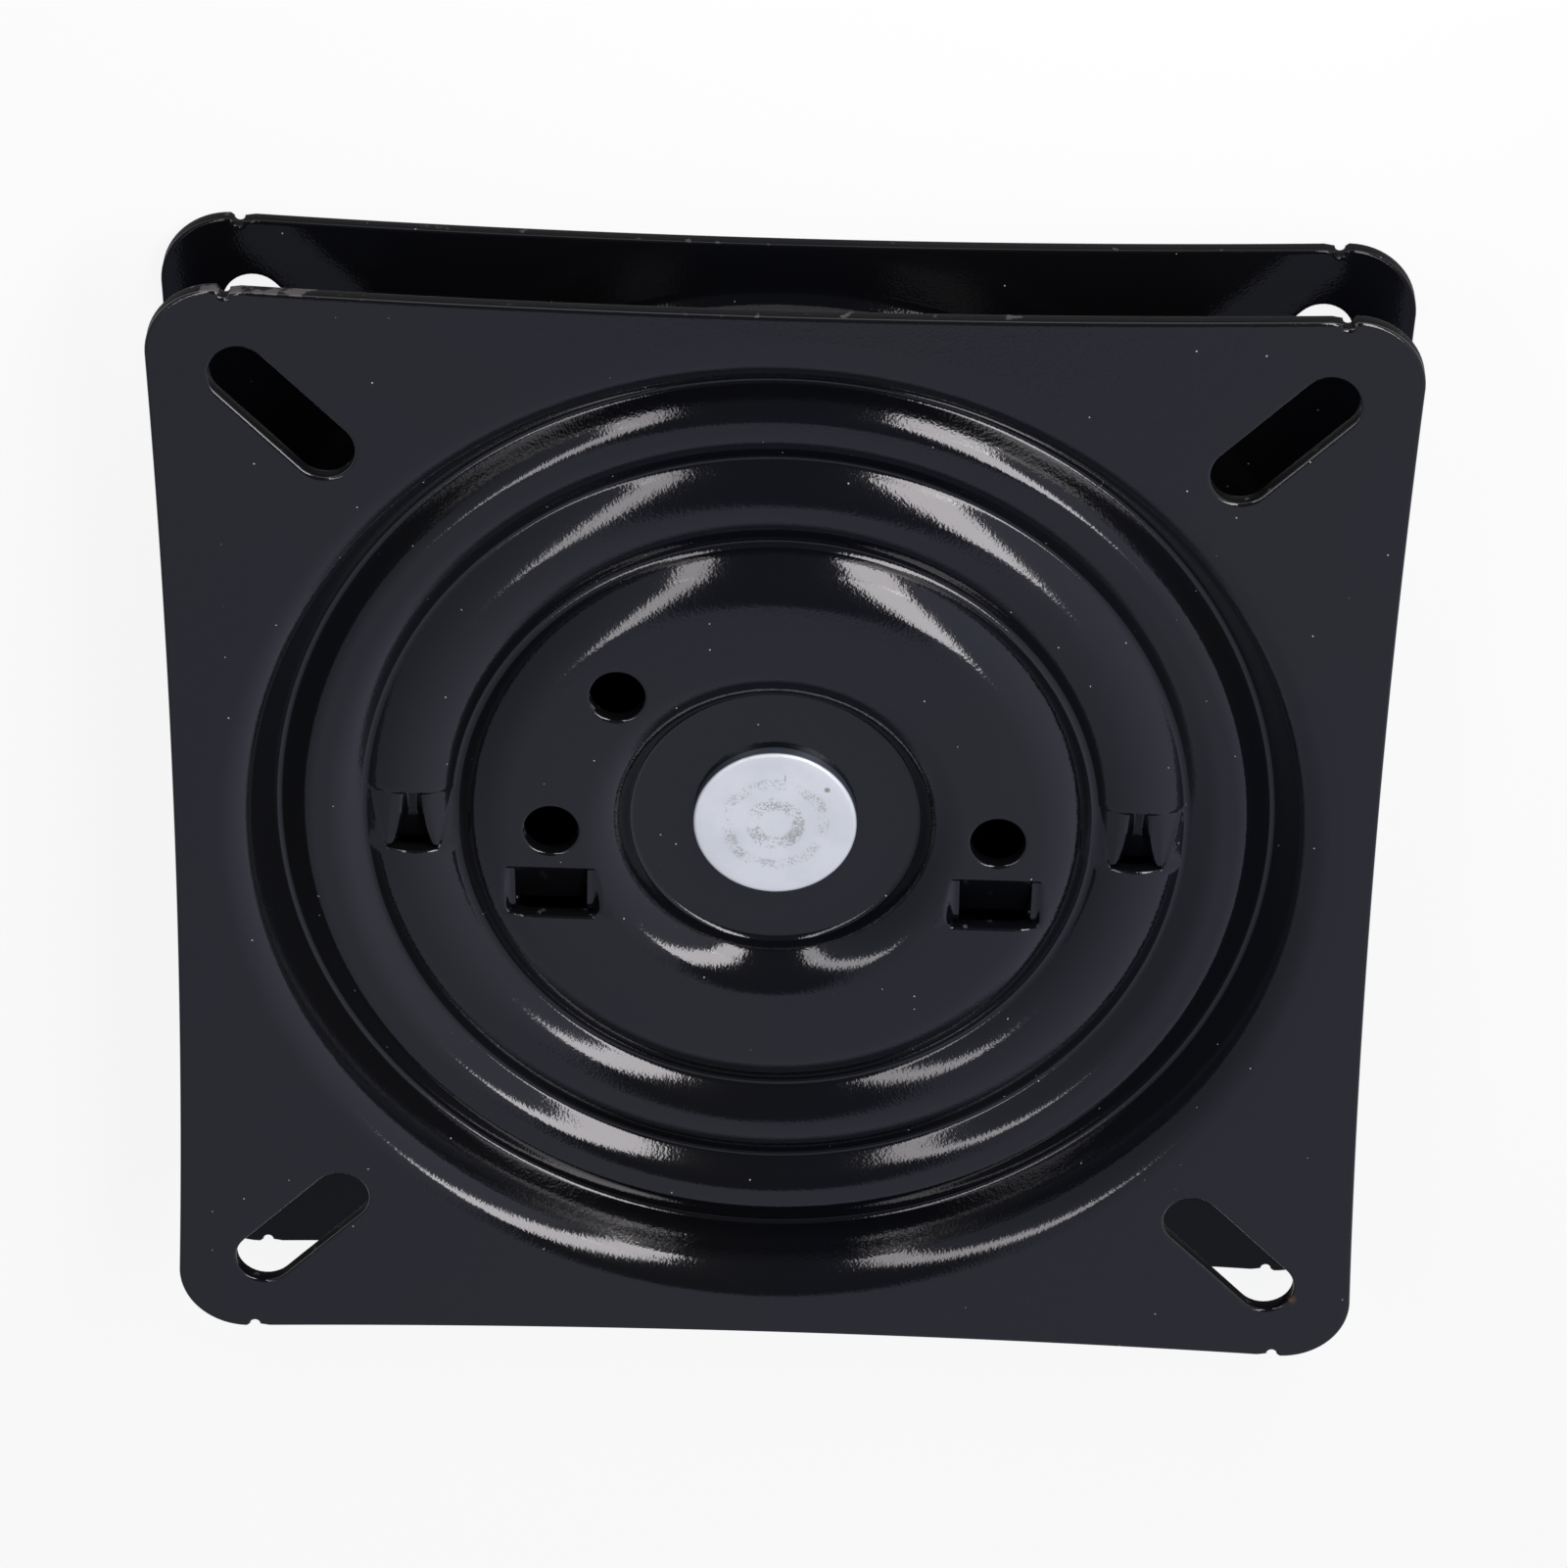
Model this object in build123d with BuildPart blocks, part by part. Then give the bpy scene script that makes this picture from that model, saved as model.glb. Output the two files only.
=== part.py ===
# Stool swivel plate: two pressed square plates that turn on a ring of balls about a central rivet.
# Millimetres, +Z up along the swivel axis; the base plate's mounting face lies on z = 0.
import os
from math import cos, radians, sin

from build123d import *

# Blanks of both plates
plate_size = 177.8
edge_bow = 1.7
corner_radius = 10.0
sheet = 2.5
notch_radius = 0.75
notch_from_corner = 11.3
slot_inset = 18.9
slot_width = 8.7
slot_length = 25.2

# Ball race, pressed round the ball circle
ball_diameter = 7.144
race_inset = 22.5
ball_count = 24
crest_clearance = 0.03
wall_clearance = 0.16
race_depth = 6.1
outer_wall_angle = 42.0
inner_wall_angle = 58.0

# Flat cage between the facing ridges
cage_thickness = 0.6
cage_clearance = 0.25
pocket_clearance = 0.12
cage_web = 1.7

# Pressed rings on both sides of the race
groove_radius = 0.8
crest_bend_radius = 1.5
ring_bend_radius = 2.4
disc_bend_radius = 2.5
flange_bend_radius = 3.5
flange_step = 5.0
inner_ring_depth = 6.2
inner_ring_outer_run = 5.2
inner_ring_width = 6.8
inner_ring_inner_run = 2.1
inner_groove_rise = 0.65
disc_depth = 3.7
disc_run = 5.7
recess_radius = 21.8
recess_run = 3.2

# Pivot rivet and its washers
shank_diameter = 12.0
bore_clearance = 0.06
head_diameter = 24.0
head_height = 1.9
head_edge_radius = 0.35
head_clearance = 0.05
spacer_diameter = 38.0
spacer_thickness = 1.0
spacer_clearance = 0.05
backing_diameter = 26.0
backing_thickness = 1.6
formed_diameter = 18.0
formed_height = 2.6
formed_edge_radius = 1.1

# Round holes of the seat plate, on a circle a little inside the middle of its disc
hole_diameter = 8.0
hole_inward = 0.35
hole_angles = (0, 135, 180)

# Lanced tabs of the seat plate: widths of mouth, facet, throat and floor, then depths of facet and floor,
# at the hinge and at the shear
disc_tab_hinge_y = -5.7
disc_tab_shear_y = -14.4
disc_tab_hinge = (13.8, 11.8, 10.7, 10.4, 0.3, 0.55)
disc_tab_shear = (18.8, 13.2, 10.5, 10.2, 1.9, 4.4)
ring_tab_outward = 1.0
ring_tab_hinge_y = 4.6
ring_tab_shear_y = -5.5
ring_tab_hinge = (12.6, 12.0, 3.5, 1.0, 0.8, 1.3)
ring_tab_shear = (12.8, 12.2, 8.6, 4.4, 2.4, 4.2)
tab_skin = 1.6

# Heights that follow from the balls and the sheet
ball_radius = ball_diameter / 2
half_height = race_depth + sheet + crest_clearance + ball_radius
overall_height = 2 * half_height
ridge_gap = cage_thickness + 2 * cage_clearance
groove_depth = half_height - sheet - ridge_gap / 2
floor_gap = spacer_thickness + spacer_clearance
recess_depth = half_height - sheet - floor_gap / 2


def race_wall(angle, depth):
    """Radial reach, from the ball circle, of a sloping race wall at a depth below the flange."""
    reach = ball_radius + wall_clearance + sheet
    height = half_height - depth
    return (reach - height * cos(radians(angle))) / sin(radians(angle))


# Sharp corner of a race groove whose rounding bottoms out at the groove depth
half_turn = radians(outer_wall_angle + inner_wall_angle) / 2
groove_corner = groove_depth + groove_radius * (1 / cos(half_turn) - 1)

# Radii of the pressing, from the race inwards and outwards
half_size = plate_size / 2
ball_circle_radius = half_size - race_inset
outer_groove = ball_circle_radius + race_wall(outer_wall_angle, groove_corner)
middle_groove = ball_circle_radius - race_wall(inner_wall_angle, groove_corner)
inner_ring_outer = middle_groove - inner_ring_outer_run
inner_ring_inner = inner_ring_outer - inner_ring_width
inner_groove = inner_ring_inner - inner_ring_inner_run
disc_edge = inner_groove - disc_run
recess_edge = recess_radius + recess_run
hole_circle_radius = (recess_edge + disc_edge) / 2 - hole_inward
ring_tab_radius = (inner_ring_outer + inner_ring_inner) / 2 + ring_tab_outward
bore_radius = shank_diameter / 2 + bore_clearance
dish_radius = outer_groove + flange_step + flange_bend_radius + sheet

# Outside of the sheet, from the pivot bore out to the flange: radius, height and rounding of each bend.
# A crest is rounded on its inside and a groove on its outside; the other face is larger by the sheet.
bends = (
    (bore_radius, -recess_depth, None, None),
    (recess_radius, -recess_depth, groove_radius, "groove"),
    (recess_edge, -disc_depth, crest_bend_radius, "crest"),
    (disc_edge, -disc_depth, disc_bend_radius, "crest"),
    (inner_groove, inner_groove_rise - groove_corner, groove_radius, "groove"),
    (inner_ring_inner, -inner_ring_depth, ring_bend_radius, "crest"),
    (inner_ring_outer, -inner_ring_depth, ring_bend_radius, "crest"),
    (middle_groove, -groove_corner, groove_radius, "groove"),
    (ball_circle_radius - race_wall(inner_wall_angle, race_depth), -race_depth, crest_bend_radius, "crest"),
    (ball_circle_radius + race_wall(outer_wall_angle, race_depth), -race_depth, crest_bend_radius, "crest"),
    (outer_groove, -groove_corner, groove_radius, "groove"),
    (outer_groove + flange_step, 0, flange_bend_radius, "crest"),
    (dish_radius, 0, None, None),
)
outside_points = [Vector(radius, height) for radius, height, rounding, form in bends]
outside_radii = [rounding + (sheet if form == "crest" else 0) for _, _, rounding, form in bends[1:-1]]
inside_radii = [rounding + (sheet if form == "groove" else 0) for _, _, rounding, form in bends[1:-1]]


def inside_corner(before, corner, after):
    """Corner of the sheet's inner face, one sheet thickness from both runs that meet at an outer corner."""
    normal_in = (corner - before).normalized().rotate(Axis.Z, -90)
    normal_out = (after - corner).normalized().rotate(Axis.Z, -90)
    return corner + (normal_in + normal_out) * (sheet / (1 + normal_in.dot(normal_out)))


inside_points = [
    outside_points[0] - Vector(0, sheet),
    *[inside_corner(*outside_points[at - 1:at + 2]) for at in range(1, len(bends) - 1)],
    outside_points[-1] - Vector(0, sheet),
]

# One edge of the square blank, bowed in by the draw, and the corner after it
corner_at = half_size - corner_radius
slot_circle_radius = (half_size - slot_inset) * 2 ** 0.5
outline_points = (Vector(half_size, -corner_at), Vector(half_size, corner_at), Vector(corner_at, half_size))

# The pressing that both plates start from, flange face on z = 0 and dish below it
with BuildPart() as pressing:
    with BuildSketch(Plane.XZ):
        with BuildLine():
            FilletPolyline(*outside_points, radius=outside_radii)
            FilletPolyline(*inside_points, radius=inside_radii)
            Line(outside_points[0], inside_points[0])
            Line(outside_points[-1], inside_points[-1])
        make_face()
    revolve(axis=Axis.Z)
    with BuildSketch():
        with BuildLine():
            for turn in (0, 90, 180, 270):
                edge_start, edge_end, corner_end = [point.rotate(Axis.Z, turn) for point in outline_points]
                SagittaArc(edge_start, edge_end, edge_bow)
                RadiusArc(edge_end, corner_end, -corner_radius)
        make_face()
        with GridLocations(plate_size - 2 * notch_from_corner, plate_size, 2, 2):
            Circle(notch_radius, mode=Mode.SUBTRACT)
        Circle(dish_radius, mode=Mode.SUBTRACT)
    extrude(amount=-sheet)
    with BuildSketch():
        for turn in (45, 135, 225, 315):
            with PolarLocations(slot_circle_radius, 1, start_angle=turn):
                SlotOverall(slot_length, slot_width)
    extrude(amount=-sheet, mode=Mode.SUBTRACT)


# Everything below the outer face of the dish, which the lanced tabs stay within
with BuildPart() as below_face:
    with BuildSketch(Plane.XZ):
        with BuildLine():
            FilletPolyline(*outside_points, radius=outside_radii)
            low_corners = ((bore_radius, -half_height), (dish_radius, -half_height))
            Polyline(outside_points[0], *low_corners, outside_points[-1])
        make_face()
    revolve(axis=Axis.Z)


def lance(at_x, hinge_y, shear_y, surface, hinge, shear, skin=0.0):
    """Hollow pressed in by a lanced tab, hinge to sheared end; a skin grows it to the tab's underside."""
    with BuildPart() as hollow:
        for at_y, (*widths, facet_depth, floor_depth) in ((hinge_y, hinge), (shear_y, shear)):
            mouth, facet, throat, floor = [(width + skin) / 2 for width in widths]
            facet_level = surface - facet_depth - skin
            floor_level = surface - floor_depth - skin
            outline = [
                (floor, floor_level),
                (throat, facet_level),
                (facet, facet_level),
                (mouth, surface),
                (mouth, overall_height),
            ]
            outline += [(-across, level) for across, level in reversed(outline)]
            with BuildSketch(Plane.XZ.offset(-at_y)):
                with BuildLine():
                    Polyline(*[(at_x + across, level) for across, level in outline], close=True)
                make_face()
        loft(ruled=True)
    return hollow.part


with BuildPart() as base_plate:
    mirror(pressing.part, about=Plane.XY)
base_plate.part.label = "base_plate"

disc_face = overall_height - disc_depth
ring_face = overall_height - inner_ring_depth
disc_tab = (disc_tab_hinge_y, disc_tab_shear_y, disc_face, disc_tab_hinge, disc_tab_shear)
ring_tab = (ring_tab_hinge_y, ring_tab_shear_y, ring_face, ring_tab_hinge, ring_tab_shear)
tabs = [(side * hole_circle_radius, *disc_tab) for side in (-1, 1)]
tabs += [(side * ring_tab_radius, *ring_tab) for side in (-1, 1)]
tab_outsides = [lance(*tab, skin=tab_skin) for tab in tabs]
tab_mouths = [lance(*tab) for tab in tabs]

with BuildPart() as tab_sheets:
    add(tab_outsides)
    with Locations((0, 0, overall_height)):
        add(below_face.part, mode=Mode.INTERSECT)

with BuildPart() as seat_plate:
    with Locations((0, 0, overall_height)):
        add(pressing.part)
    add(tab_sheets.part)
    add(tab_mouths, mode=Mode.SUBTRACT)
    for angle in hole_angles:
        with PolarLocations(hole_circle_radius, 1, start_angle=angle):
            with Locations((0, 0, overall_height)):
                Hole(hole_diameter / 2, depth=half_height)
seat_plate.part.label = "seat_plate"

# Levels of the pivot stack
seat_floor = overall_height - recess_depth
head_under = seat_floor + head_clearance
backing_under = recess_depth - backing_thickness
formed_under = backing_under - formed_height

with BuildPart() as pivot_rivet:
    with BuildSketch(Plane.XY.offset(head_under)):
        Circle(head_diameter / 2)
    extrude(amount=head_height)
    fillet(edges().group_by(Axis.Z)[-1], radius=head_edge_radius)
    with BuildSketch(Plane.XY.offset(formed_under)):
        Circle(formed_diameter / 2)
    extrude(amount=formed_height)
    fillet(edges().group_by(Axis.Z)[0], radius=formed_edge_radius)
    with BuildSketch(Plane.XY.offset(backing_under)):
        Circle(shank_diameter / 2)
    extrude(amount=head_under - backing_under)
pivot_rivet.part.label = "pivot_rivet"

with BuildPart() as spacer_washer:
    with BuildSketch(Plane.XY.offset(recess_depth + sheet)):
        Circle(spacer_diameter / 2)
        Circle(bore_radius, mode=Mode.SUBTRACT)
    extrude(amount=spacer_thickness)
spacer_washer.part.label = "spacer_washer"

with BuildPart() as backing_washer:
    with BuildSketch(Plane.XY.offset(backing_under)):
        Circle(backing_diameter / 2)
        Circle(bore_radius, mode=Mode.SUBTRACT)
    extrude(amount=backing_thickness)
backing_washer.part.label = "backing_washer"

pocket_radius = ball_radius + pocket_clearance
with BuildPart() as ball_cage:
    with BuildSketch(Plane.XY.offset(half_height - cage_thickness / 2)):
        Circle(ball_circle_radius + pocket_radius + cage_web)
        Circle(ball_circle_radius - pocket_radius - cage_web, mode=Mode.SUBTRACT)
        with PolarLocations(ball_circle_radius, ball_count):
            Circle(pocket_radius, mode=Mode.SUBTRACT)
    extrude(amount=cage_thickness)
ball_cage.part.label = "ball_cage"

pieces = [base_plate, seat_plate, pivot_rivet, spacer_washer, backing_washer, ball_cage]
for number in range(ball_count):
    with BuildPart(Plane.XY.offset(half_height)) as ball:
        with PolarLocations(ball_circle_radius, 1, start_angle=360 / ball_count * number):
            Sphere(ball_radius)
    ball.part.label = f"ball_{number + 1:02d}"
    pieces.append(ball)

os.makedirs("parts", exist_ok=True)
for piece in pieces:
    export_step(piece.part, f"parts/{piece.part.label}.step")
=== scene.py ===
import math

import bpy
import numpy as np
from mathutils import Matrix, Vector
from mathutils.geometry import delaunay_2d_cdt


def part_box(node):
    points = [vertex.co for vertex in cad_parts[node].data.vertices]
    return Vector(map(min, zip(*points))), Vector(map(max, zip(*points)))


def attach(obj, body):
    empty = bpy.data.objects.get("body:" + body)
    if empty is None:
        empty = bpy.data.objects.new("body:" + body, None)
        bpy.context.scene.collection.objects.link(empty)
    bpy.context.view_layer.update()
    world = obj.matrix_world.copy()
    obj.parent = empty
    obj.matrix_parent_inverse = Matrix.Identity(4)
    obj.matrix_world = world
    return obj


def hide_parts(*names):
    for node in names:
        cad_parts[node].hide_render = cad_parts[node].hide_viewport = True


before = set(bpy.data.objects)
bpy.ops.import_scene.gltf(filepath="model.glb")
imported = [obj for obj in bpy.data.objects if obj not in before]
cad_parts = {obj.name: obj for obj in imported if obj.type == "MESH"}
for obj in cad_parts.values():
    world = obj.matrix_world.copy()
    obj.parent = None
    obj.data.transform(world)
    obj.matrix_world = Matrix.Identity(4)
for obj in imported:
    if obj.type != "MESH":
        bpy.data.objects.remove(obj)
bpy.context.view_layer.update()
mm = 0.001
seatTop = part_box("seat_plate")[1].z / mm  # mm above the floor
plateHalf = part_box("seat_plate")[1].x / mm
print("frame loaded, height", round(seatTop, 2), "mm")


def newPiece(name, vertices, faces, sharpDegrees):
    # mesh object from arrays in mm, smooth apart from edges sharper than the angle
    mesh = bpy.data.meshes.new(name)
    mesh.from_pydata((vertices * mm).tolist(), [], faces.tolist())
    mesh.polygons.foreach_set("use_smooth", np.ones(len(mesh.polygons), bool))
    mesh.update()
    mesh.set_sharp_from_angle(angle=math.radians(sharpDegrees))
    piece = bpy.data.objects.new(name, mesh)
    bpy.context.scene.collection.objects.link(piece)
    print(name, "triangles", len(faces))
    return piece


# Pressing shared by both plates, mm; its bends are those of the outer face, centre outwards
pressing = {
    "sheet": 2.5,
    "bends": (  # radius, depth, rounding
        (6.06, 9.177, 0.0),
        (21.2, 9.177, 0.8),
        (24.0, 3.7, 6.8),
        (43.5, 3.7, 8.5),
        (46.579, 8.947, 1.0),
        (50.3, 6.2, 9.1),
        (56.6, 6.2, 9.2),
        (60.2, 8.9, 0.8),
        (63.8, 6.1, 5.0),
        (68.4, 6.1, 3.2),
        (72.82, 9.597, 0.8),
        (77.6, 0.0, 5.2),
        (84.0, 0.0, 0.0),
    ),
    "arcSteps": 9,
    "runSteps": 3,
    "ringSteps": 256,
    "innerRingSteps": 160,
    "innerRingBelow": 38.0,
    "boreSteps": 96,
    "edgeSteps": 90,
    "cornerSteps": 18,
    "notchSteps": 11,
    "slotSteps": 20,
    "sharpDegrees": 38,
    "edgeBow": 1.7,
    "cornerRadius": 10.0,
    "notchRadius": 0.75,
    "notchFromCorner": 11.3,
    "slotInset": 18.9,
    "slotWidth": 8.7,
    "slotLength": 25.2,
    "slotAngles": (45, 135, 225, 315),
    "rim": 0.32,  # rounding of every sheared edge
    "rimSteps": (0.0, 0.15, 0.45, 1.0, 1.9),  # loops round each edge, in rims from it
    "boreClear": 2.0,  # rims kept free of other points
}


def roundedProfile(bends, arcSteps, runSteps):
    # tangent arc at each bend: it starts radius * tan(turn / 2) before the corner
    corners = np.array([(r, -d) for r, d, _ in bends])
    points = [corners[:1]]
    for before, here, after, (_, _, radius) in zip(corners[:-2], corners[1:-1], corners[2:], bends[1:-1]):
        into = (here - before) / np.linalg.norm(here - before)
        out = (after - here) / np.linalg.norm(after - here)
        turn = math.atan2(into[0] * out[1] - into[1] * out[0], into @ out)
        start = here - into * radius * math.tan(abs(turn) / 2)
        centre = start + radius * math.copysign(1, turn) * np.array([-into[1], into[0]])
        spin = np.linspace(0, turn, arcSteps)
        arm = start - centre
        arc = centre + np.stack([arm[0] * np.cos(spin) - arm[1] * np.sin(spin),
                                 arm[0] * np.sin(spin) + arm[1] * np.cos(spin)], -1)
        share = np.linspace(0, 1, runSteps + 1)[1:-1, None]
        points.append(points[-1][-1] * (1 - share) + arc[0] * share)
        points.append(arc)
    points.append(corners[-1:])
    return np.concatenate(points)


profile = roundedProfile(pressing["bends"], pressing["arcSteps"], pressing["runSteps"])
tangent = np.gradient(profile, axis=0)
tangent /= np.linalg.norm(tangent, axis=1)[:, None]


def circle(radius, steps, centre=(0, 0)):
    # evenly spaced points: centre + radius * (cos, sin)
    angle = np.linspace(0, 2 * np.pi, steps, endpoint=False)
    return np.stack([centre[0] + radius * np.cos(angle), centre[1] + radius * np.sin(angle)], -1)


def turnPlan(points, degrees):
    # plan points turned anticlockwise about the pivot
    spin = math.radians(degrees)
    return points @ np.array([[np.cos(spin), np.sin(spin)], [-np.sin(spin), np.cos(spin)]])


def notchedEdge(edge, normal):
    # swaps the samples near each end of an edge for a half-round witness notch
    radius, at = pressing["notchRadius"], plateHalf - pressing["notchFromCorner"]
    turn = np.linspace(np.pi, 2 * np.pi, pressing["notchSteps"])
    level = plateHalf - pressing["edgeBow"] * (1 - (at / plateHalf) ** 2)
    parts, normals = [], []
    for low, high, centre in ((-plateHalf, -at, -at), (-at, at, at), (at, plateHalf, None)):
        pastLow = edge[:, 0] > low + radius * (low > -plateHalf)
        mask = pastLow & (edge[:, 0] < high - radius * (high < plateHalf))
        parts.append(edge[mask])
        normals.append(normal[mask])
        if centre is not None:
            parts.append(np.stack([centre + radius * np.cos(turn), level + radius * np.sin(turn)], -1))
            inward = -np.stack([np.cos(turn), np.sin(turn)], -1)
            inward[[0, -1]] = (inward[[0, -1]] + (0, 1)) / np.sqrt(2)
            normals.append(inward)
    return np.concatenate(parts), np.concatenate(normals)


def plateOutline(inset):
    # bowed edges, notched on two sides, and corner arcs, each sample moved inwards along its own normal
    radius, bow = pressing["cornerRadius"], pressing["edgeBow"]
    reach = plateHalf - radius
    along = np.linspace(reach, -reach, pressing["edgeSteps"])
    sweep = (reach ** 2 + bow ** 2) / (2 * bow)  # radius of the bow
    edge = np.stack([along, plateHalf - bow + sweep - np.sqrt(sweep ** 2 - along ** 2)], -1)
    edgeNormal = np.stack([-along / sweep, np.sqrt(1 - (along / sweep) ** 2)], -1)
    turn = np.linspace(0, np.pi / 2, pressing["cornerSteps"])[1:-1]
    corner = np.stack([-reach - radius * np.sin(turn), reach + radius * np.cos(turn)], -1)
    cornerNormal = np.stack([-np.sin(turn), np.cos(turn)], -1)
    pieces = []
    for quarter in range(4):
        line, normal = edge, edgeNormal
        if quarter % 2 == 0:
            line, normal = [rows[::-1] for rows in notchedEdge(edge[::-1], edgeNormal[::-1])]
        loop = np.concatenate([line, corner]) - inset * np.concatenate([normal, cornerNormal])
        pieces.append(turnPlan(loop, 90 * quarter))
    return np.concatenate(pieces)


def slotLoop(degrees, grow):
    # stadium along a diagonal: two half circles joined by straight sides
    radius = pressing["slotWidth"] / 2 + grow
    half = (pressing["slotLength"] - pressing["slotWidth"]) / 2
    turn = np.linspace(-np.pi / 2, np.pi / 2, pressing["slotSteps"])
    right = np.stack([half + radius * np.cos(turn), radius * np.sin(turn)], -1)
    loop = np.concatenate([right, -right])
    return turnPlan(loop + ((plateHalf - pressing["slotInset"]) * math.sqrt(2), 0), degrees)


# What only the seat plate has, mm: round holes, and tabs lanced into its dish
seatOnly = {
    "holeRadius": 4.0,
    "holeCircle": 32.59,
    "holeAngles": (0, 135, 180),
    "holeSteps": 56,
    "holeClear": 2.5,  # rims kept free of other points
    "slit": 0.3,
    "hingeRound": 0.6,
    "leastPress": 0.3,  # share of a facet's depth kept where the dish already lies lower
    "cornerPinch": 0.88,  # how far a tab's mouth closes in on its facet at the shear
    "shearRims": ((0.0, 0.22), (0.06, 0.09), (0.22, 0.0), (0.45, 0.0)),  # distance from the shear, fall
    "shearSteps": 56,
    "tabSteps": (9, 7, 4, 12),  # across each flank, facet, step and half floor
    "tabDown": (0.0, 0.02, 0.04, 0.06, 0.08, 0.1, *np.linspace(0.13, 1, 28)),
    "slitClear": 0.1,
    "tabClear": (0.2, 0.1, 0.5),  # beside the mouth, above the hinge, below the shear
}
# Half widths of mouth, facet, throat and floor, and depths of facet (press) and tongue,
# each at the hinge and at the shear; the mouth's corner starts at a share of the way down
discTab = {
    "x": 32.59,
    "hinge": -6.4,
    "shear": -14.9,
    "level": 3.7,
    "mouth": (7.2, 8.4),
    "facet": (5.8, 5.9),
    "throat": (5.35, 5.25),
    "floor": (5.1, 5.0),
    "press": (0.45, 1.6),
    "tongue": (0.4, 3.2),
    "flare": 1.0,  # power by which throat and floor widen
    "corner": 0.5,
}
ringTab = {
    "x": 53.08,
    "hinge": 4.2,
    "shear": -5.9,
    "level": 6.2,
    "mouth": (6.3, 4.8),
    "facet": (5.7, 3.5),
    "throat": (1.7, 3.3),
    "floor": (0.5, 2.2),
    "press": (0.5, 1.0),
    "tongue": (0.7, 3.0),
    "flare": 3.0,
    "corner": 0.6,
}


def smooth(low, high, value):
    # 0 below low, 1 above high, 3t^2 - 2t^3 between
    share = np.clip((value - low) / (high - low), 0, 1)
    return share * share * (3 - 2 * share)


def tabWidths(tab, down):
    # half widths at a share of the way from hinge to shear; the mouth's far corners are quarter ellipses
    powers = {"mouth": 1.0, "facet": 1.0, "throat": tab["flare"], "floor": tab["flare"]}
    mouth, facet, throat, floor = [tab[key][0] + (tab[key][1] - tab[key][0]) * down ** power
                                   for key, power in powers.items()]
    corner = np.clip((down - tab["corner"]) / (1 - tab["corner"]), 0, 1)
    pinch = seatOnly["cornerPinch"] * (1 - np.sqrt(1 - corner ** 2))
    return mouth - (mouth - facet) * pinch, facet, throat, floor


def tabDrop(points, height, tabs):
    # a pressed facet that slopes from hinge to shear, and a deeper tongue along its middle
    drop = np.zeros(len(points))
    for side, tab in tabs:
        past = tab["hinge"] - points[:, 1]
        down = np.clip(past / (tab["hinge"] - tab["shear"]), 0, 1)
        off = np.abs(points[:, 0] - side * tab["x"])
        mouth, facet, throat, floor = tabWidths(tab, down)
        flank = smooth(0, 1, (mouth - off) / (mouth - facet))
        press = (tab["press"][0] + (tab["press"][1] - tab["press"][0]) * down) * flank
        tongue = tab["tongue"][0] + (tab["tongue"][1] - tab["tongue"][0]) * down
        tongue *= smooth(0, 1, (throat - off) / (throat - floor))
        pressed = np.maximum(height + tab["level"] + press, seatOnly["leastPress"] * press)
        pressed = pressed * (flank > 0) + tongue
        inside = (past > 0) & (points[:, 1] > tab["shear"] + 1e-6)
        drop += np.where(inside, pressed * smooth(0, seatOnly["hingeRound"], past), 0)
    return drop


def tabGrid(side, tab):
    # points over one tab along the lines of its creases
    down = np.array(seatOnly["tabDown"])[:, None]
    levels = [*tabWidths(tab, down), np.zeros_like(down)]
    arms = [wide + (narrow - wide) * np.linspace(0, 1, steps, endpoint=False)
            for wide, narrow, steps in zip(levels[:-1], levels[1:], seatOnly["tabSteps"])]
    arms = np.concatenate(arms, 1)
    offset = np.concatenate([-arms, np.zeros_like(down), arms[:, ::-1]], 1)
    y = tab["hinge"] + (tab["shear"] + seatOnly["slit"] - tab["hinge"]) * down
    grid = np.stack([side * tab["x"] + offset, np.broadcast_to(y, offset.shape)], -1).reshape(-1, 2)
    return grid[grid[:, 1] > tab["shear"] + seatOnly["slit"] + seatOnly["slitClear"]]


def shearLine(side, tab, below):
    # straight line across the mouth, a distance below the shear
    along = np.linspace(-1, 1, seatOnly["shearSteps"]) * tabWidths(tab, 1.0)[0]
    return np.stack([side * tab["x"] + along, np.full(len(along), tab["shear"] - below)], -1)


def slitLoop(side, tab):
    # thin opening along the sheared end of a tab
    upper = shearLine(side, tab, -seatOnly["slit"])
    return np.concatenate([shearLine(side, tab, 0.0), upper[::-1][1:-1]])


def insideLoop(points, loop):
    # even-odd crossing count
    crossings = np.zeros(len(points), int)
    for (x0, y0), (x1, y1) in zip(loop, np.roll(loop, -1, axis=0)):
        if y0 != y1:
            spans = (points[:, 1] < y0) != (points[:, 1] < y1)
            crossings += spans & (points[:, 0] < x0 + (points[:, 1] - y0) * (x1 - x0) / (y1 - y0))
    return crossings % 2 == 1


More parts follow.
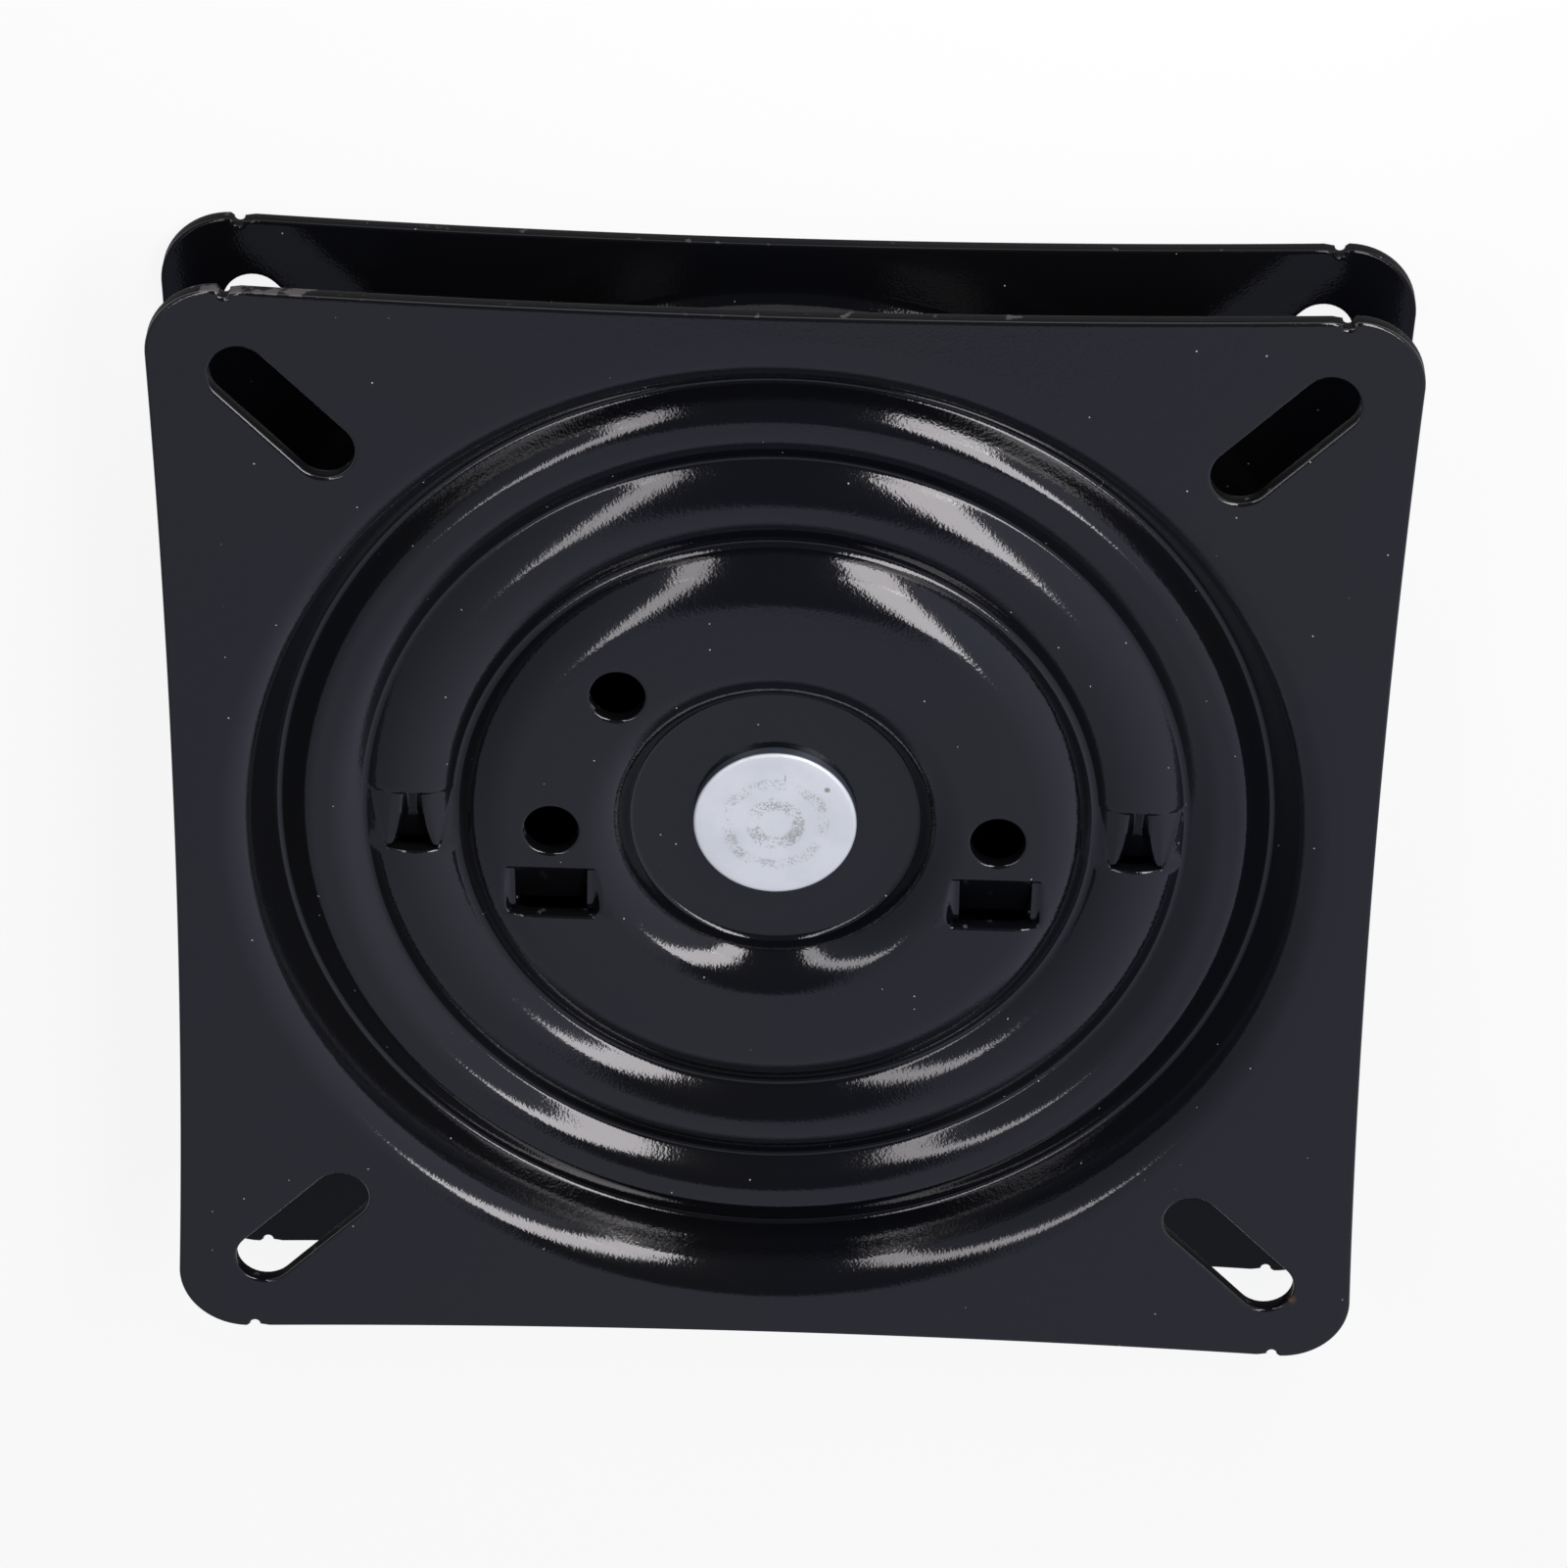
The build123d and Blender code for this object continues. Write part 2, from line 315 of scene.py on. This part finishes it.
def buildPlate(name, flip, tabs=(), holes=()):
    # the outer face is triangulated in plan and lifted to the profile; the inner face is one sheet below it
    rim = pressing["rim"]
    bore = pressing["bends"][0][0]
    edges = [plateOutline]
    edges += [lambda grow, turn=turn: slotLoop(turn, grow) for turn in pressing["slotAngles"]]
    edges += [lambda grow: circle(bore + grow, pressing["boreSteps"])]
    edges += [lambda grow, at=at: circle(seatOnly["holeRadius"] + grow, seatOnly["holeSteps"], at)
              for at in holes]
    points, fall, joined = [], [], []

    def add(rows, drop, join=0):
        # join: 1 for an open line of points, 2 for a loop
        first = sum(map(len, points))
        points.append(rows)
        fall.append(np.full(len(rows), drop))
        chain = list(range(first, first + len(rows)))
        if join:
            joined.extend(zip(chain, chain[1:] + chain[:1] * (join == 2)))

    for edge in edges:
        for step in pressing["rimSteps"]:
            add(edge(step * rim), rim * (1 - math.sqrt(1 - max(1 - step, 0) ** 2)), 2)
    for side, tab in tabs:
        add(slitLoop(side, tab), seatOnly["shearRims"][0][1], 2)
        for below, drop in seatOnly["shearRims"][1:]:
            add(shearLine(side, tab, below), drop, 1)
        add(tabGrid(side, tab), 0)
    rings = []
    for radius in profile[1:, 0]:
        fine = radius >= pressing["innerRingBelow"]
        rings.append(circle(radius, pressing["ringSteps" if fine else "innerRingSteps"]))
    rings = np.concatenate(rings)
    keep = np.hypot(*rings.T) > bore + pressing["boreClear"] * rim
    for at in holes:
        keep &= np.hypot(*(rings - at).T) > seatOnly["holeRadius"] + seatOnly["holeClear"] * rim
    clearBeside, clearAbove, clearBelow = seatOnly["tabClear"]
    for side, tab in tabs:
        beside = np.abs(rings[:, 0] - side * tab["x"]) < max(tab["mouth"]) + clearBeside
        within = (rings[:, 1] < tab["hinge"] + clearAbove) & (rings[:, 1] > tab["shear"] - clearBelow)
        keep &= ~(beside & within)
    add(rings[keep], 0)

    points, fall = np.concatenate(points), np.concatenate(fall)
    solved = delaunay_2d_cdt([Vector(p) for p in points.tolist()], joined, [], 0, 1e-7)
    plan, triangles = np.array([tuple(v) for v in solved[0]]), np.array(solved[2])
    source = np.array([ids[0] if ids else -1 for ids in solved[3]])
    fall = np.where(source >= 0, fall[source], 0)
    middle = plan[triangles].mean(axis=1)
    keep = insideLoop(middle, plateOutline(0))
    for loop in [edge(0) for edge in edges[1:]] + [slitLoop(side, tab) for side, tab in tabs]:
        keep &= ~insideLoop(middle, loop)
    triangles = triangles[keep]

    radius = np.hypot(*plan.T)
    height = np.interp(radius, *profile.T)
    slope = np.interp(radius, profile[:, 0], tangent[:, 1], right=0)  # sine of the profile's angle
    drop = tabDrop(plan, height, tabs)
    outerFace = np.column_stack([plan, height - drop - fall])
    innerPlan = plan * (1 + slope * pressing["sheet"] / radius)[:, None]
    sink = np.sqrt(1 - slope ** 2) * pressing["sheet"]
    innerFace = np.column_stack([innerPlan, height - drop - sink + fall])
    vertices = np.concatenate([outerFace, innerFace])
    count = len(plan)
    sides = np.concatenate([triangles[:, [0, 1]], triangles[:, [1, 2]], triangles[:, [2, 0]]])
    key = sides.min(axis=1) * count + sides.max(axis=1)
    _, first, times = np.unique(key, return_index=True, return_counts=True)
    a, b = sides[first[times == 1]].T  # open edges, which get a wall
    walls = np.concatenate([np.stack([b, a, a + count], -1), np.stack([b, a + count, b + count], -1)])
    faces = np.concatenate([triangles, triangles[:, ::-1] + count, walls])
    # place in paints: outer face, inner face, walls; the inner faces and walls take duller copies as
    # painted shade
    coat = np.repeat([0, 2, 1], [len(triangles), len(triangles), len(walls)])
    if flip:  # base plate: the same pressing upside down
        vertices[:, 2] *= -1
        faces = faces[:, ::-1]
    else:
        vertices[:, 2] += seatTop
    piece = newPiece(name, vertices, faces, pressing["sharpDegrees"])
    rimMask = (np.concatenate([fall, fall]) / rim).astype(np.float32)
    piece.data.attributes.new("rim", "FLOAT", "POINT").data.foreach_set("value", rimMask)
    piece.data.polygons.foreach_set("material_index", coat.astype(np.int32))
    return piece


# the holes lie on eighths of their circle
holePlaces = circle(seatOnly["holeCircle"], 8)[[angle // 45 for angle in seatOnly["holeAngles"]]]
seatTabs = [(side, tab) for side in (-1, 1) for tab in (discTab, ringTab)]
seatPlate = buildPlate("seatPlate", False, seatTabs, holePlaces)
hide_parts("seat_plate")
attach(seatPlate, "seat")
basePlate = buildPlate("basePlate", True)
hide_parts("base_plate")
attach(basePlate, "base")

# Pivot rivet, mm: half profile from the head's centre down to the formed end
rivet = {
    "headRadius": 12.0,
    "headHeight": 1.9,
    "headEdge": 0.55,
    "headRings": (5.0, 10.6),  # extra rings of points on the flat faces
    "shankRadius": 6.0,
    "formedRadius": 9.0,
    "formedHeight": 2.6,
    "formedEdge": 1.1,
    "formedRing": 6.0,
    "steps": 144,
    "edgeSteps": 7,
    "sharpDegrees": 40,
}
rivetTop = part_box("pivot_rivet")[1].z / mm
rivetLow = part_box("pivot_rivet")[0].z / mm


def roundCorner(radius, level, edge, upper):
    # quarter arc at the outer corner of a disc
    turn = np.linspace(0, np.pi / 2, rivet["edgeSteps"])
    fall = (edge * np.cos(turn) - edge) * (1 if upper else -1)
    arc = np.stack([radius - edge + edge * np.sin(turn), level + fall], -1)
    return arc if upper else arc[::-1]


def revolve(name, halfProfile, steps):
    # halfProfile runs from axis to axis; its two ends become poles
    ring = circle(1, steps)
    body = halfProfile[1:-1]
    vertices = np.concatenate([np.column_stack([ring * r, np.full(steps, z)]) for r, z in body])
    vertices = np.concatenate([vertices, [(0, 0, halfProfile[0][1]), (0, 0, halfProfile[-1][1])]])
    here = np.arange(steps)
    after = np.roll(here, -1)
    rows = np.arange(len(body) - 1)[:, None] * steps
    corner = [(rows + here), (rows + steps + here), (rows + steps + after), (rows + after)]
    a, b, c, d = [rowsOf.ravel() for rowsOf in corner]
    last = (len(body) - 1) * steps
    pole = np.full(steps, len(body) * steps)
    threes = ((a, b, c), (a, c, d), (pole, here, after), (pole + 1, last + after, last + here))
    faces = np.concatenate([np.stack(three, -1) for three in threes])
    return newPiece(name, vertices, faces, rivet["sharpDegrees"])


formedTop = rivetLow + rivet["formedHeight"]
headLow = rivetTop - rivet["headHeight"]
rivetProfile = np.concatenate([
    [(r, rivetTop) for r in (0, *rivet["headRings"])],
    roundCorner(rivet["headRadius"], rivetTop, rivet["headEdge"], True),
    [(rivet["headRadius"], headLow), (rivet["shankRadius"], headLow), (rivet["shankRadius"], formedTop),
     (rivet["formedRadius"], formedTop)],
    roundCorner(rivet["formedRadius"], rivetLow, rivet["formedEdge"], False),
    [(rivet["formedRing"], rivetLow), (0, rivetLow)],
])
pivotRivet = revolve("pivotRivet", rivetProfile, rivet["steps"])
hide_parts("pivot_rivet")
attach(pivotRivet, "base")
print("pieces built")


class Value:
    # a shader socket that turns Python arithmetic into Math nodes
    def __init__(self, tree, socket):
        self.tree, self.socket = tree, socket

    def math(self, operation, *others, clamp=False):
        node = addNode(self.tree, "ShaderNodeMath", {"operation": operation, "use_clamp": clamp},
                       dict(enumerate((self, *others))))
        return Value(self.tree, node.outputs[0])

    def __add__(self, other):
        return self.math("ADD", other)

    def __sub__(self, other):
        return self.math("SUBTRACT", other)

    def __rsub__(self, other):
        return self.math("MULTIPLY_ADD", -1, other)

    def __mul__(self, other):
        return self.math("MULTIPLY", other)

    __radd__ = __add__
    __rmul__ = __mul__

    def clamp(self):
        return self.math("ADD", 0, clamp=True)

    def ramp(self, low, high):
        # 0 below low, 1 above high, smooth between
        node = addNode(self.tree, "ShaderNodeMapRange", {"interpolation_type": "SMOOTHSTEP"},
                       {"Value": self, "From Min": low, "From Max": high})
        return Value(self.tree, node.outputs[0])

    def band(self, centre, half, soft):
        # 1 within half of the centre
        return 1 - (self - centre).math("ABSOLUTE").ramp(half, half + soft)


def addNode(tree, kind, settings=None, inputs=None):
    node = tree.nodes.new(kind)
    for key, value in (settings or {}).items():
        setattr(node, key, value)
    for key, value in (inputs or {}).items():
        value = getattr(value, "socket", value)
        if isinstance(value, bpy.types.NodeSocket):
            tree.links.new(value, node.inputs[key])
        else:
            node.inputs[key].default_value = value
    return node


def newMaterial(name, **constants):
    material = bpy.data.materials.new(name)
    material.use_nodes = True
    shader = material.node_tree.nodes["Principled BSDF"]
    for key, value in constants.items():
        shader.inputs[key.replace("_", " ")].default_value = value
    return material, material.node_tree, shader


def noise(tree, place, scale, detail=2.0):
    node = addNode(tree, "ShaderNodeTexNoise", None, {"Vector": place, "Scale": scale, "Detail": detail})
    return Value(tree, node.outputs[0])


def distanceTo(tree, place, point):
    node = addNode(tree, "ShaderNodeVectorMath", {"operation": "DISTANCE"}, {0: place, 1: point})
    return Value(tree, node.outputs["Value"])


def mixColour(tree, factor, first, second):
    node = addNode(tree, "ShaderNodeMix", {"data_type": "RGBA"}, {"Factor": factor, 6: first, 7: second})
    return node.outputs[2]


def feed(tree, shader, **links):
    for key, value in links.items():
        tree.links.new(getattr(value, "socket", value), shader.inputs[key.replace("_", " ")])


# Black gloss paint, metres: orange peel, dust, worn rims and one rust speck; duller copies on the walls and
# inner faces are painted shade
paintLook = {
    "coats": (  # name, specular level, roughness
        ("blackPaint", 0.75, 0.065),
        # painted shade: the walls and inner faces get less specular so they stay dark instead of mirroring
        # the bright floor and lights
        ("wallShadePaint", 0.05, 0.55),
        ("insideShadePaint", 0.3, 0.065),
    ),
    "peel": (520.0, 1.2e-5),  # noise scale, height
    "grain": (2400.0, 1.5e-5),
    "cloud": (22.0, 0.35, 0.65),  # noise scale, and where blue-black starts and is full
    "dustCell": 420.0,
    "dustShare": (0.8, 0.84),  # cells above this hold a speck
    "dustRadius": 0.06,
    "scuffScale": 420.0,
    "rimFrom": (0.1, 0.6),
    "wornFrom": (0.64, 0.72),
    "wornAt": (-0.073, 0.0886, 0.0235),
    "wornReach": (0.004, 0.014),
    "wornMore": 0.17,
    "rustAt": (0.0797, -0.0780, 0.0243),
    "rustReach": 0.0013,
    "rustFrom": (0.42, 0.58),
    "cover": 0.8,  # of wear and dust over the paint
    "smear": (90.0, 0.05),  # noise scale, added roughness
    "markRoughness": 0.4,
    "black": (0.0036, 0.0037, 0.0042, 1),
    "blueBlack": (0.003, 0.0034, 0.005, 1),
    "bare": (0.11, 0.1, 0.095, 1),
    "rust": (0.09, 0.04, 0.02, 1),
    "dust": (0.6, 0.6, 0.6, 1),
}


def blackPaint(name, gloss, roughness):
    look = paintLook
    material, tree, shader = newMaterial(name, Specular_IOR_Level=gloss)
    spot = addNode(tree, "ShaderNodeTexCoord").outputs["Object"]
    rimEdge = Value(tree, addNode(tree, "ShaderNodeAttribute", {"attribute_name": "rim"}).outputs["Fac"])
    cells = addNode(tree, "ShaderNodeTexVoronoi", None, {"Vector": spot, "Scale": look["dustCell"]})
    cellColour = addNode(tree, "ShaderNodeSeparateColor", None, {0: cells.outputs["Color"]})
    pick = Value(tree, cellColour.outputs[0]).ramp(*look["dustShare"])
    fromSpeck = Value(tree, cells.outputs["Distance"])
    dust = pick * (1 - fromSpeck.ramp(0.6 * look["dustRadius"], look["dustRadius"]))
    scuffs = noise(tree, spot, look["scuffScale"], 5.0)
    nearWorn = 1 - distanceTo(tree, spot, look["wornAt"]).ramp(*look["wornReach"])
    worn = rimEdge.ramp(*look["rimFrom"]) * (scuffs + nearWorn * look["wornMore"]).ramp(*look["wornFrom"])
    fromRust = distanceTo(tree, spot, look["rustAt"])
    rust = 1 - fromRust.ramp(0.3 * look["rustReach"], look["rustReach"])
    rust = rust * scuffs.ramp(*look["rustFrom"])
    cloudScale, *cloudFrom = look["cloud"]
    cloud = noise(tree, spot, cloudScale, 1.0).ramp(*cloudFrom)
    tint = mixColour(tree, cloud, look["black"], look["blueBlack"])
    for mask, colour in ((worn * look["cover"], "bare"), (rust, "rust"), (dust * look["cover"], "dust")):
        tint = mixColour(tree, mask, tint, look[colour])
    layers = (look["peel"], look["grain"])
    skin = sum(noise(tree, spot, scale, 1.0) * height for scale, height in layers)
    bump = addNode(tree, "ShaderNodeBump", None, {"Strength": 1.0, "Distance": 1.0, "Height": skin})
    marks = (worn + rust + dust).clamp()
    smearScale, smearMore = look["smear"]
    smear = noise(tree, spot, smearScale) * smearMore
    feed(tree, shader, Base_Color=tint, Normal=bump.outputs["Normal"],
         Roughness=roughness + smear + marks * look["markRoughness"])
    return material


paints = [blackPaint(*coat) for coat in paintLook["coats"]]
for piece in (seatPlate, basePlate):
    for finish in paints:
        piece.data.materials.append(finish)

# Zinc plate on the rivet, metres: mottled, with two rings of scuffs, a scratch and a dent on the head, and
# a painted dark reflection down the head's side
zincLook = {
    "metallic": 0.4,
    "innerScuff": (0.0033, 0.0007, 0.0006),  # radius, half width, softness
    "outerScuff": (0.007, 0.0005, 0.0006),
    "scuffFrom": (0.58, 0.72),
    "waver": (260.0, 0.0016),  # noise scale, how far the rings of scuffs wander
    "headFrom": (0.00045, 0.00015),  # depth below the top
    "fleckScale": 3400.0,
    "fleckHeight": 6e-6,
    "patchScale": 330.0,
    "mottle": (160.0, 0.35, 0.65),  # noise scale, and where grey starts and is full
    "scratchAt": (0.00136, 0.0079),
    "scratchWide": (0.00004, 0.00006),  # half size, softness
    "scratchLong": (0.0004, 0.0002),
    "dentAt": (0.0075, 0.0061),
    "dentReach": (0.0002, 0.0006),
    "sideRoughness": 0.3,
    "headRougher": 0.2,
    "bright": (0.86, 0.9, 0.905, 1),
    "grey": (0.79, 0.83, 0.835, 1),
    "dark": (0.36, 0.34, 0.31, 1),
    # painted reflection: dark blue-grey for the head's side, standing in for the dark surroundings it
    # mirrors
    "side": (0.1, 0.12, 0.15, 1),
    "olive": (0.24, 0.22, 0.14, 1),
}
zinc, tree, shader = newMaterial("zincPlate", Metallic=zincLook["metallic"])
spot = addNode(tree, "ShaderNodeTexCoord").outputs["Object"]
axes = addNode(tree, "ShaderNodeSeparateXYZ", None, {0: spot})
x, y, z = [Value(tree, axes.outputs[i]) for i in range(3)]
waverScale, waver = zincLook["waver"]
fromAxis = (x * x + y * y).math("SQRT") + noise(tree, spot, waverScale, 3.0) * waver - waver / 2
head = z.ramp(*[rivetTop * mm - depth for depth in zincLook["headFrom"]])
flecks = noise(tree, spot, zincLook["fleckScale"], 5.0)
patches = noise(tree, spot, zincLook["patchScale"], 2.0)
scuff = fromAxis.band(*zincLook["innerScuff"]) + fromAxis.band(*zincLook["outerScuff"]) * 0.8
scuff = scuff * (flecks * 0.7 + patches * 0.5).ramp(*zincLook["scuffFrom"])
scratchX, scratchY = zincLook["scratchAt"]
line = (x - scratchX).band(0, *zincLook["scratchWide"]) * (y - scratchY).band(0, *zincLook["scratchLong"])
dent = 1 - distanceTo(tree, spot, (*zincLook["dentAt"], rivetTop * mm)).ramp(*zincLook["dentReach"])
mottleScale, *mottleFrom = zincLook["mottle"]
mottle = noise(tree, spot, mottleScale, 4.0).ramp(*mottleFrom)
tint = mixColour(tree, mottle, zincLook["bright"], zincLook["grey"])
tint = mixColour(tree, (scuff * 0.7 + line).clamp(), tint, zincLook["dark"])
tint = mixColour(tree, dent * 0.8, tint, zincLook["olive"])
# painted reflection: below the head's top the colour turns to the dark side colour
tint = mixColour(tree, head, zincLook["side"], tint)
relief = flecks * zincLook["fleckHeight"]
bump = addNode(tree, "ShaderNodeBump", None, {"Strength": 1.0, "Distance": 1.0, "Height": relief})
feed(tree, shader, Base_Color=tint, Normal=bump.outputs["Normal"],
     Roughness=zincLook["sideRoughness"] + head * zincLook["headRougher"])
pivotRivet.data.materials.append(zinc)

# Plainer finishes of the hidden pieces, which keep their CAD shapes
ballSteel = newMaterial("ballSteel", Base_Color=(0.6, 0.6, 0.61, 1), Metallic=1.0, Roughness=0.12)[0]
cageSteel = newMaterial("cageSteel", Base_Color=(0.42, 0.42, 0.43, 1), Metallic=1.0, Roughness=0.35)[0]
washerZinc = newMaterial("washerZinc", Base_Color=(0.7, 0.73, 0.77, 1), Metallic=0.85, Roughness=0.4)[0]
nylon = newMaterial("nylon", Base_Color=(0.62, 0.6, 0.54, 1), Roughness=0.5)[0]
finishes = {"ball_cage": cageSteel, "backing_washer": washerZinc, "spacer_washer": nylon}
for name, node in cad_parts.items():
    if name in finishes or name.startswith("ball_"):
        node.data.materials.clear()
        node.data.materials.append(finishes.get(name, ballSteel))
print("finishes made")

# Two tall soft lights beside the camera, in two parts each, metres from the seat plate's centre
studio = {
    "leftAcross": (0.472, 0.761, 0.445),
    "left": (  # foot, top, half width, radiance
        ((-0.152, 0.38, 0.026), (-0.147, 0.273, 0.23), 0.042, 3.9),
        ((-0.143, 0.278, 0.232), (-0.214, -0.104, 0.623), 0.04, 4.0),
    ),
    "rightAcross": (0.618, -0.705, -0.348),
    "right": (
        ((0.12, 0.317, 0.029), (0.131, 0.234, 0.189), 0.05, 6.8),
        ((0.127, 0.238, 0.191), (0.209, -0.035, 0.569), 0.058, 7.0),
    ),
    "lampColour": (1.0, 0.955, 0.985),
    "gapPlanes": ((0.85, 0.455, 0.266), (-0.81, 0.508, 0.294)),
    "gapSoft": (0.0, 0.07),
    "behindFrom": (-0.93, -0.82),
    "wall": 0.3,
    "rightWall": 0.17,
    "gap": 0.07,
    "wallColour": (0.92, 0.96, 1.2, 1),
}
seatFace = Vector((0, 0, seatTop * mm))
for side in ("left", "right"):
    across = Vector(studio[side + "Across"])
    for number, (foot, top, halfWidth, radiance) in enumerate(studio[side]):
        foot, top = Vector(foot) + seatFace, Vector(top) + seatFace
        along = (top - foot).normalized()
        width = (across - along * across.dot(along)).normalized()
        facing = width.cross(along)
        if facing.dot(foot + top) < 0:
            width, facing = -width, -facing
        lamp = bpy.data.lights.new(f"{side}Light{number}", "AREA")
        lamp.shape = "RECTANGLE"
        lamp.size, lamp.size_y = 2 * halfWidth, (top - foot).length
        lamp.color = studio["lampColour"]
        lamp.energy = radiance * math.pi * lamp.size * lamp.size_y
        lampObject = bpy.data.objects.new(lamp.name, lamp)
        turned = Matrix((width, along, facing)).transposed().to_4x4()
        lampObject.matrix_world = Matrix.Translation((foot + top) / 2) @ turned
        bpy.context.scene.collection.objects.link(lampObject)

# Grey walls all round, dark between the two lights and in a cone behind the part
world = bpy.data.worlds.new("world")
bpy.context.scene.world = world
world.use_nodes = True
tree = world.node_tree
direction = addNode(tree, "ShaderNodeTexCoord").outputs["Generated"]


def towards(vector):
    node = addNode(tree, "ShaderNodeVectorMath", {"operation": "DOT_PRODUCT"}, {0: direction, 1: vector})
    return Value(tree, node.outputs["Value"])


leftSide, rightSide = [towards(plane).ramp(*studio["gapSoft"]) for plane in studio["gapPlanes"]]
gap = leftSide * rightSide
wall = studio["wall"] + studio["rightWall"] * towards((1, 0, 0))
level = studio["gap"] + wall * (1 - gap) * towards((0, 1, 0)).ramp(*studio["behindFrom"])
backdrop = tree.nodes["Background"]
backdrop.inputs["Color"].default_value = studio["wallColour"]
feed(tree, backdrop, Strength=level)

# Pale floor, lifted towards white for camera and mirror rays, with the part's shadow kept
ground = {"half": 2.0, "colour": (0.85, 0.85, 0.85, 1), "roughness": 0.9, "lift": 0.88}
floorMesh = bpy.data.meshes.new("floor")
half = ground["half"]
floorCorners = [(-half, -half, 0), (half, -half, 0), (half, half, 0), (-half, half, 0)]
floorMesh.from_pydata(floorCorners, [], [(0, 1, 2, 3)])
floor = bpy.data.objects.new("floor", floorMesh)
bpy.context.scene.collection.objects.link(floor)
floorFinish, tree, shader = newMaterial("floor", Base_Color=ground["colour"], Roughness=ground["roughness"])
rays = addNode(tree, "ShaderNodeLightPath").outputs
seen = Value(tree, rays["Is Camera Ray"])
for kind in ("Is Glossy Ray", "Is Transmission Ray"):
    seen = seen.math("MAXIMUM", Value(tree, rays[kind]))
glow = addNode(tree, "ShaderNodeEmission", None, {"Strength": 1.0})
lifted = addNode(tree, "ShaderNodeMixShader", None,
                 {0: seen * ground["lift"], 1: shader.outputs[0], 2: glow.outputs[0]})
tree.links.new(lifted.outputs[0], tree.nodes["Material Output"].inputs["Surface"])
floorMesh.materials.append(floorFinish)

# Camera fitted to the slots and rings: lens in photo pixels, place in mm from the seat plate's centre
view = {
    "imageSize": 1601,
    "focal": 6458.7,
    "sensor": 36.0,
    "place": (9.81, 494.56, 774.21),
    "forward": (-0.00936, -0.52936, -0.84834),
    "up": (-0.02888, 0.84817, -0.52894),
}
camera = bpy.data.cameras.new("camera")
camera.sensor_width = view["sensor"]
camera.lens = view["sensor"] * view["focal"] / view["imageSize"]
cameraObject = bpy.data.objects.new("camera", camera)
forward = Vector(view["forward"]).normalized()
right = forward.cross(Vector(view["up"])).normalized()
turned = Matrix((right, right.cross(forward), -forward)).transposed().to_4x4()
place = Vector(view["place"]) + Vector((0, 0, seatTop))
cameraObject.matrix_world = Matrix.Translation(place * mm) @ turned
bpy.context.scene.collection.objects.link(cameraObject)
bpy.context.scene.camera = cameraObject
bpy.context.scene.view_settings.view_transform = "Standard"
print("studio lit")
